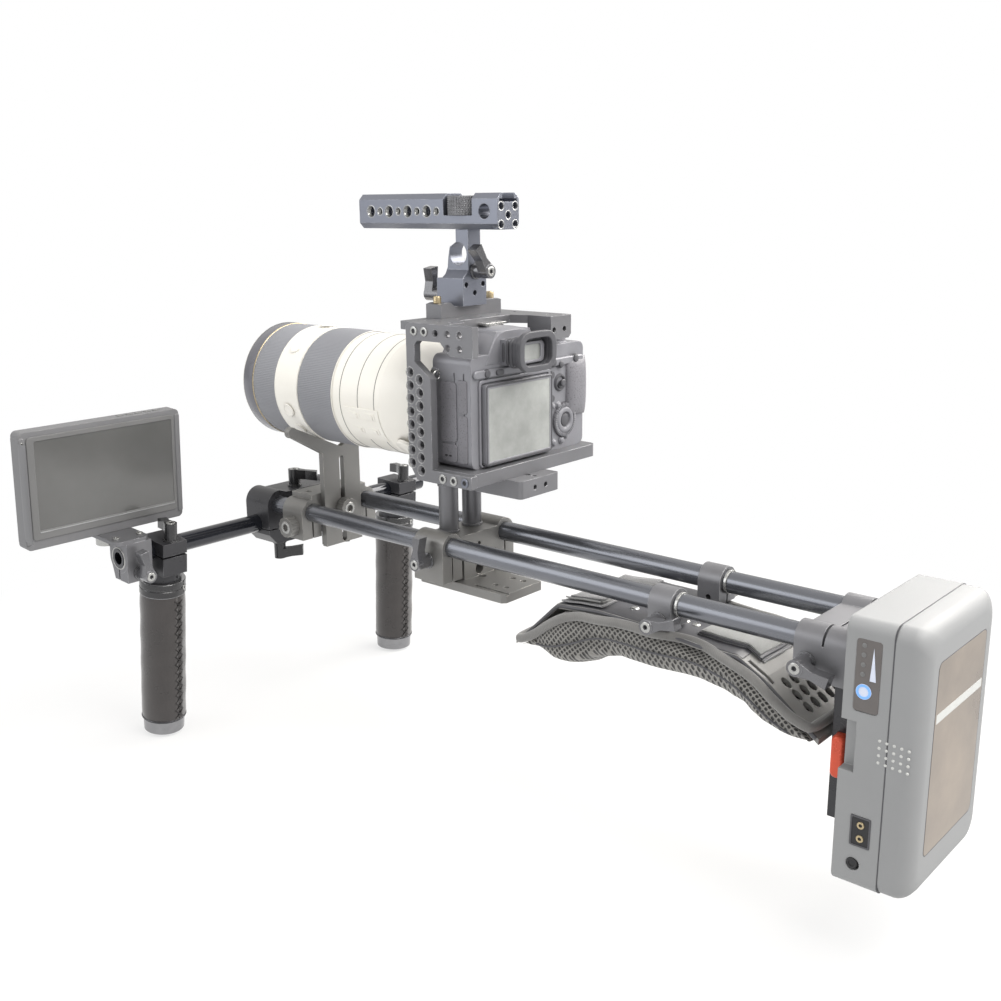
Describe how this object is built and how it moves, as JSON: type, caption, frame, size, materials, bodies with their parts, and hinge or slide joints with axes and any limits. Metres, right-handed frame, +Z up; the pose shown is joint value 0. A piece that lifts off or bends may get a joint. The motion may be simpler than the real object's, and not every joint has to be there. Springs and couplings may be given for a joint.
{
  "type": "camera shoulder rig",
  "caption": "Shoulder rig on two parallel rods: camera in a cage with long lens, lens support, monitor, hand grips, top handle, shoulder pad and rear battery.",
  "frame": {"origin": "the mouth of the tripod thread in the baseplate's underside", "axes": "+Y forward along the rods, towards the lens's front; +X to the operator's right; +Z up"},
  "size_m": [0.3955, 0.625, 0.4353],
  "materials": {
    "grey_anodised": "grey hard anodised",
    "black_anodised": "black anodised",
    "rod": "anodised tube",
    "cross_rod": "gloss black",
    "leather": "grained leather",
    "monitor_plastic": "moulded",
    "screen": "glossy panel",
    "lens_white": "white enamel",
    "lens_rubber": "ribbed rubber",
    "glass": "coated",
    "camera_plastic": "fine texture",
    "camera_black": "soft",
    "metal_button": "turned",
    "pad_fabric": "mesh fabric",
    "strap": "webbing",
    "plate_metal": "powder coat",
    "battery_plastic": "fine texture",
    "red_plastic": "moulded"
  },
  "bodies": {
    "chassis": {"main_rods": "rod", "cross_rod": "cross_rod", "front_clamp": "black_anodised", "camera_body": "camera_plastic", "camera_eyecup": "camera_black", "cage_side_plate": "grey_anodised", "cage_base": "grey_anodised", "cage_top": "grey_anodised", "riser": "grey_anodised", "baseplate": "grey_anodised", "handle_rail_clamp": "grey_anodised", "handle_post": "grey_anodised", "handle_grip": "grey_anodised", "lens_barrel": "lens_white", "lens_glass": "glass", "battery_clamp": "grey_anodised", "battery_plate": "black_anodised"},
    "front_top_lever": {"front_top_lever": "black_anodised"},
    "front_left_lever": {"front_left_lever": "black_anodised"},
    "front_right_lever": {"front_right_lever": "black_anodised"},
    "left_grip": {"left_grip_clamp": "black_anodised", "left_grip_core": "grey_anodised", "left_grip_leather": "leather"},
    "left_grip_lever": {"left_grip_lever": "black_anodised"},
    "right_grip": {"right_grip_clamp": "black_anodised", "right_grip_core": "grey_anodised", "right_grip_leather": "leather"},
    "right_grip_lever": {"right_grip_lever": "black_anodised"},
    "monitor_mount": {"monitor_clamp": "grey_anodised", "monitor_mount_plate": "grey_anodised"},
    "monitor_clamp_lever": {"monitor_clamp_lever": "grey_anodised"},
    "monitor_thumbwheel": {"monitor_thumbwheel": "metal_button"},
    "monitor": {"monitor_shell": "monitor_plastic", "monitor_screen": "screen"},
    "lens_support": {"lens_support_bridge": "grey_anodised"},
    "lens_support_rod_knob": {"lens_support_rod_knob": "grey_anodised"},
    "lens_support_height_knob": {"lens_support_height_knob": "grey_anodised"},
    "lens_cradle": {"lens_support_cradle": "grey_anodised"},
    "focus_ring": {"focus_ring": "lens_rubber"},
    "zoom_ring": {"zoom_ring": "lens_rubber"},
    "camera_display": {"camera_display": "camera_plastic"},
    "camera_rear_wheel": {"camera_rear_wheel": "camera_black"},
    "camera_mode_dial": {"camera_mode_dial": "camera_black"},
    "camera_shutter_button": {"camera_shutter_button": "metal_button"},
    "camera_buttons": {"camera_buttons": "camera_black"},
    "baseplate_lever": {"baseplate_lever": "grey_anodised"},
    "handle_wheel": {"handle_wheel": "grey_anodised"},
    "handle_front_lever": {"handle_front_lever": "grey_anodised"},
    "handle_rear_lever": {"handle_rear_lever": "grey_anodised"},
    "shoulder_pad": {"pad_clamps": "grey_anodised", "pad_frame": "plate_metal", "pad_cushion": "pad_fabric", "pad_straps": "strap"},
    "pad_lever": {"pad_lever": "grey_anodised"},
    "pad_knob": {"pad_knob": "grey_anodised"},
    "battery_lever": {"battery_lever": "grey_anodised"},
    "battery": {"battery_front_shell": "battery_plastic", "battery_rear_shell": "battery_plastic"},
    "battery_latch": {"battery_latch": "red_plastic"},
    "battery_power_button": {"battery_power_button": "battery_plastic"}
  },
  "joints": [
    {"name": "front_top_lever_turn", "type": "hinge", "parent": "chassis", "child": "front_top_lever", "pos_m": [-0.003, 0.218, 0.046], "axis": [0, 0, 1], "range_deg": [-60, 60]},
    {"name": "front_left_lever_turn", "type": "hinge", "parent": "chassis", "child": "front_left_lever", "pos_m": [-0.027, 0.2127, 0.002], "axis": [0, 0, -1], "range_deg": [-60, 60]},
    {"name": "front_right_lever_turn", "type": "hinge", "parent": "chassis", "child": "front_right_lever", "pos_m": [0.027, 0.2127, 0.002], "axis": [0, 0, -1], "range_deg": [-60, 60]},
    {"name": "left_grip_swing", "type": "hinge", "parent": "chassis", "child": "left_grip", "pos_m": [-0.1365, 0.223, 0.0195], "axis": [1, 0, 0], "range_deg": [-3, 45]},
    {"name": "left_grip_lever_turn", "type": "hinge", "parent": "left_grip", "child": "left_grip_lever", "pos_m": [-0.1365, 0.20993, 0.02747], "axis": [0, -0.1219, 0.9925], "range_deg": [-75, 0]},
    {"name": "right_grip_swing", "type": "hinge", "parent": "chassis", "child": "right_grip", "pos_m": [0.122, 0.223, 0.0195], "axis": [1, 0, 0], "range_deg": [-30, 45]},
    {"name": "right_grip_lever_turn", "type": "hinge", "parent": "right_grip", "child": "right_grip_lever", "pos_m": [0.122, 0.21052, 0.02836], "axis": [0, -0.0523, 0.9986], "range_deg": [-75, 60]},
    {"name": "monitor_tilt", "type": "hinge", "parent": "chassis", "child": "monitor_mount", "pos_m": [-0.1645, 0.223, 0.0195], "axis": [1, 0, 0], "range_deg": [-15, 4]},
    {"name": "monitor_clamp_lever_turn", "type": "hinge", "parent": "monitor_mount", "child": "monitor_clamp_lever", "pos_m": [-0.1645, 0.21171, 0.00777], "axis": [0, -0.998, -0.0628], "range_deg": [-40, 80]},
    {"name": "monitor_thumbwheel_turn", "type": "hinge", "parent": "monitor_mount", "child": "monitor_thumbwheel", "pos_m": [-0.174, 0.24208, 0.03473], "axis": [0, -0.0628, 0.998], "continuous": true},
    {"name": "monitor_swivel", "type": "hinge", "parent": "monitor_mount", "child": "monitor", "pos_m": [-0.174, 0.24189, 0.03772], "axis": [0, -0.0628, 0.998], "range_deg": [0, 25]},
    {"name": "lens_support_slide", "type": "slide", "parent": "chassis", "child": "lens_support", "axis": [0, 1, 0], "range_m": [-0.06, 0.008]},
    {"name": "lens_support_rod_knob_turn", "type": "hinge", "parent": "lens_support", "child": "lens_support_rod_knob", "pos_m": [-0.041, 0.1755, 0.025], "axis": [-1, 0, 0], "continuous": true},
    {"name": "lens_support_height_knob_turn", "type": "hinge", "parent": "lens_support", "child": "lens_support_height_knob", "pos_m": [0, 0.1579, 0.036], "axis": [0, -1, 0], "continuous": true},
    {"name": "lens_cradle_height", "type": "slide", "parent": "lens_support", "child": "lens_cradle", "axis": [0, 0, 1], "range_m": [-0.025, 0]},
    {"name": "focus_turn", "type": "hinge", "parent": "chassis", "child": "focus_ring", "pos_m": [0, 0.196, 0.1405], "axis": [0, 1, 0], "continuous": true},
    {"name": "zoom_turn", "type": "hinge", "parent": "chassis", "child": "zoom_ring", "pos_m": [0, 0.134, 0.1405], "axis": [0, 1, 0], "range_deg": [-45, 45]},
    {"name": "display_open", "type": "hinge", "parent": "chassis", "child": "camera_display", "pos_m": [-0.036, -0.0381, 0.1335], "axis": [0, 0, -1], "range_deg": [0, 175]},
    {"name": "rear_wheel_turn", "type": "hinge", "parent": "chassis", "child": "camera_rear_wheel", "pos_m": [0.058, -0.033, 0.1245], "axis": [0, 1, 0], "continuous": true},
    {"name": "mode_dial_turn", "type": "hinge", "parent": "chassis", "child": "camera_mode_dial", "pos_m": [0.063, -0.02, 0.1836], "axis": [0, 0, 1], "continuous": true},
    {"name": "shutter_press", "type": "slide", "parent": "chassis", "child": "camera_shutter_button", "axis": [0, 0, -1], "range_m": [0, 0.0008], "stiffness_N_per_m": 300, "springref_m": -0.0002},
    {"name": "buttons_press", "type": "slide", "parent": "chassis", "child": "camera_buttons", "axis": [0, 1, 0], "range_m": [0, 0.0006], "stiffness_N_per_m": 400, "springref_m": -0.0002},
    {"name": "baseplate_lever_turn", "type": "hinge", "parent": "chassis", "child": "baseplate_lever", "pos_m": [-0.0405, 0.018, 0.0257], "axis": [-1, 0, 0], "range_deg": [-60, 60]},
    {"name": "handle_wheel_turn", "type": "hinge", "parent": "chassis", "child": "handle_wheel", "pos_m": [-0.0015, 0.0088, 0.2835], "axis": [0, 0, 1], "continuous": true},
    {"name": "handle_front_lever_turn", "type": "hinge", "parent": "chassis", "child": "handle_front_lever", "pos_m": [-0.0065, 0.0295, 0.22], "axis": [0, 1, 0], "range_deg": [-60, 60]},
    {"name": "handle_rear_lever_turn", "type": "hinge", "parent": "chassis", "child": "handle_rear_lever", "pos_m": [0.001, 0.0035, 0.2375], "axis": [0, -1, 0], "range_deg": [-60, 60]},
    {"name": "pad_slide", "type": "slide", "parent": "chassis", "child": "shoulder_pad", "axis": [0, 1, 0], "range_m": [0, 0.035]},
    {"name": "pad_lever_turn", "type": "hinge", "parent": "shoulder_pad", "child": "pad_lever", "pos_m": [-0.0405, -0.1875, 0.0257], "axis": [-1, 0, 0], "range_deg": [0, 90]},
    {"name": "pad_knob_turn", "type": "hinge", "parent": "shoulder_pad", "child": "pad_knob", "pos_m": [0.0405, -0.1875, 0.0257], "axis": [1, 0, 0], "continuous": true},
    {"name": "battery_lever_turn", "type": "hinge", "parent": "chassis", "child": "battery_lever", "pos_m": [-0.0405, -0.2898, 0.025], "axis": [-1, 0, 0], "range_deg": [0, 100]},
    {"name": "battery_lift", "type": "slide", "parent": "chassis", "child": "battery", "axis": [0, 0, 1], "range_m": [0, 0.05]},
    {"name": "battery_latch_press", "type": "slide", "parent": "chassis", "child": "battery_latch", "axis": [1, 0, 0], "range_m": [0, 0.002], "stiffness_N_per_m": 400, "springref_m": -0.0005},
    {"name": "battery_button_press", "type": "slide", "parent": "battery", "child": "battery_power_button", "axis": [1, 0, 0], "range_m": [0, 0.0006], "stiffness_N_per_m": 300, "springref_m": -0.0002}
  ]
}
